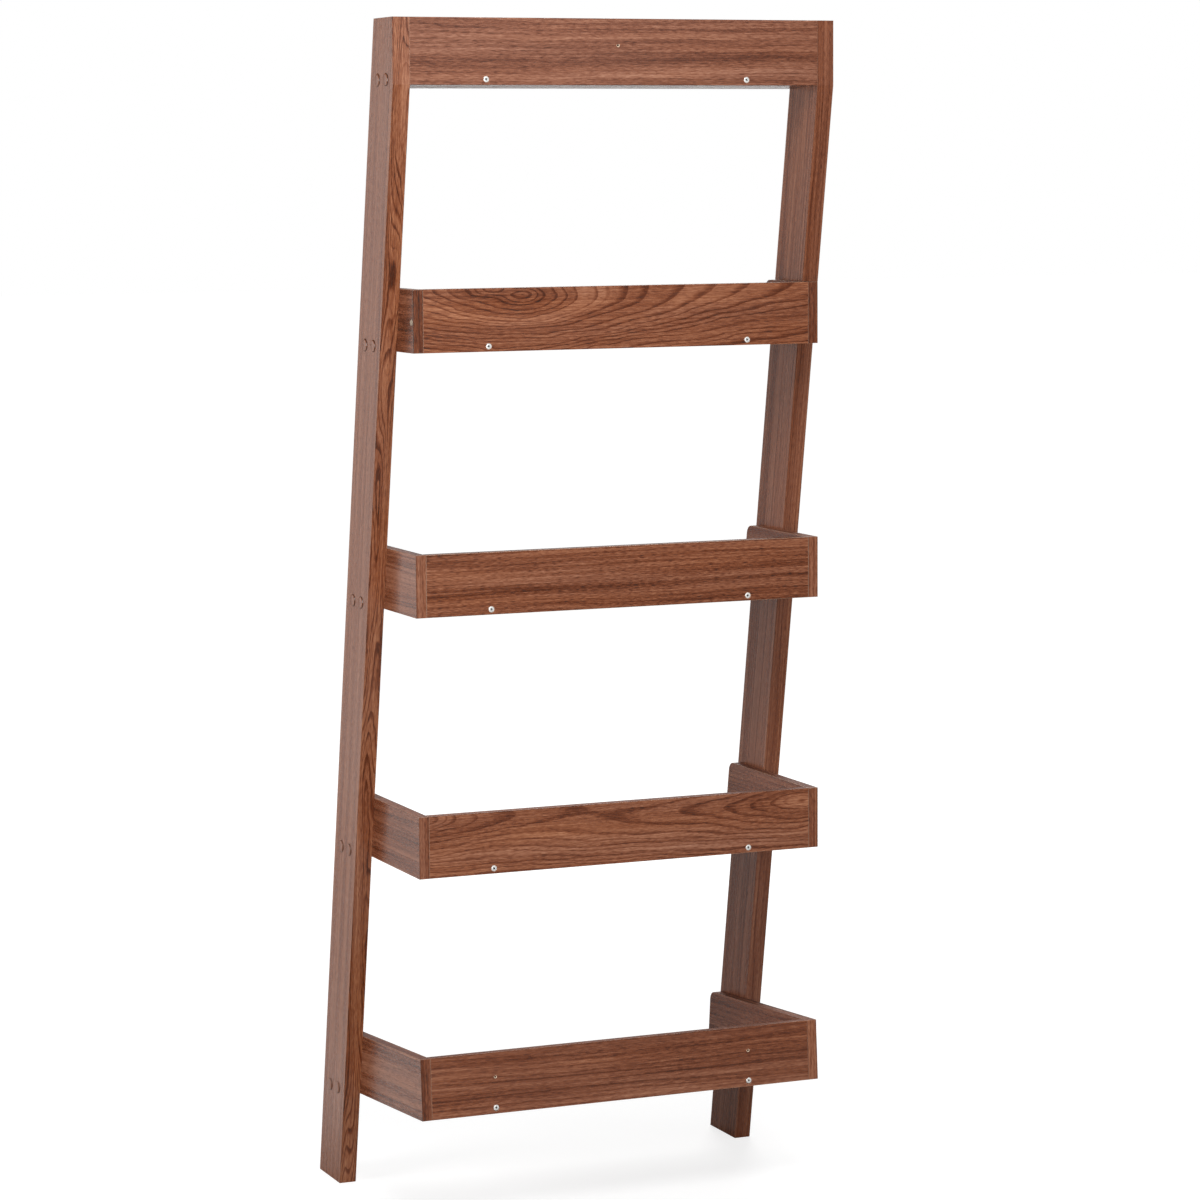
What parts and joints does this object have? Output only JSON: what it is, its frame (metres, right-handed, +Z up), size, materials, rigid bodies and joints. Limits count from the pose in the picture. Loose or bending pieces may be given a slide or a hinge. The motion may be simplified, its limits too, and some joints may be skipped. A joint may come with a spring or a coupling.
{
  "type": "ladder shelf",
  "caption": "Leaning ladder shelf: two raked stiles against a wall carry a top shelf and open-fronted trays that deepen towards the floor.",
  "frame": {"origin": "on the floor, at the middle of the outer width and of the outer depth", "axes": "+Z up, +Y towards the wall that the shelf leans on, +X to the right of a person who faces the shelf"},
  "size_m": [0.67, 0.3836, 1.7],
  "materials": {
    "walnut_stile": "walnut look laminate, satin, grain along the stile",
    "walnut_board": "walnut look laminate, satin, grain along the board",
    "walnut_shelf": "walnut look laminate, satin, grain along the board",
    "zinc_screw": "bright zinc plated",
    "beech_dowel": "plain fluted beech",
    "brown_cap": "brown plastic cover cap, satin"
  },
  "bodies": {
    "root": {"stile_left": "walnut_stile", "stile_right": "walnut_stile", "top_back_board": "walnut_board", "top_shelf_board": "walnut_shelf", "top_stile_screw_left_rear": "zinc_screw", "top_stile_screw_left_front": "zinc_screw", "top_back_screw_left": "zinc_screw", "top_dowel_left": "beech_dowel", "top_stile_screw_right_rear": "zinc_screw", "top_stile_screw_right_front": "zinc_screw", "top_back_screw_right": "zinc_screw", "top_dowel_right": "beech_dowel", "tray_1_back_board": "walnut_board", "tray_1_shelf_board": "walnut_shelf", "tray_1_cheek_left": "walnut_board", "tray_1_cheek_right": "walnut_board", "tray_1_stile_screw_left_rear": "zinc_screw", "tray_1_stile_screw_left_front": "zinc_screw", "tray_1_back_screw_left": "zinc_screw", "tray_1_dowel_left": "beech_dowel", "tray_1_stile_screw_right_rear": "zinc_screw", "tray_1_stile_screw_right_front": "zinc_screw", "tray_1_back_screw_right": "zinc_screw", "tray_1_dowel_right": "beech_dowel", "tray_2_back_board": "walnut_board", "tray_2_shelf_board": "walnut_shelf", "tray_2_cheek_left": "walnut_board", "tray_2_cheek_right": "walnut_board", "tray_2_stile_screw_left_rear": "zinc_screw", "tray_2_stile_screw_left_front": "zinc_screw", "tray_2_back_screw_left": "zinc_screw", "tray_2_dowel_left": "beech_dowel", "tray_2_stile_screw_right_rear": "zinc_screw", "tray_2_stile_screw_right_front": "zinc_screw", "tray_2_back_screw_right": "zinc_screw", "tray_2_dowel_right": "beech_dowel", "tray_3_back_board": "walnut_board", "tray_3_shelf_board": "walnut_shelf", "tray_3_cheek_left": "walnut_board", "tray_3_cheek_right": "walnut_board", "tray_3_stile_screw_left_rear": "zinc_screw", "tray_3_stile_screw_left_front": "zinc_screw", "tray_3_back_screw_left": "zinc_screw", "tray_3_dowel_left": "beech_dowel", "tray_3_stile_screw_right_rear": "zinc_screw", "tray_3_stile_screw_right_front": "zinc_screw", "tray_3_back_screw_right": "zinc_screw", "tray_3_dowel_right": "beech_dowel", "tray_4_back_board": "walnut_board", "tray_4_shelf_board": "walnut_shelf", "tray_4_cheek_left": "walnut_board", "tray_4_cheek_right": "walnut_board", "tray_4_stile_screw_left_rear": "zinc_screw", "tray_4_stile_screw_left_front": "zinc_screw", "tray_4_back_screw_left": "zinc_screw", "tray_4_dowel_left": "beech_dowel", "tray_4_stile_screw_right_rear": "zinc_screw", "tray_4_stile_screw_right_front": "zinc_screw", "tray_4_back_screw_right": "zinc_screw", "tray_4_dowel_right": "beech_dowel"}
  },
  "joints": []
}
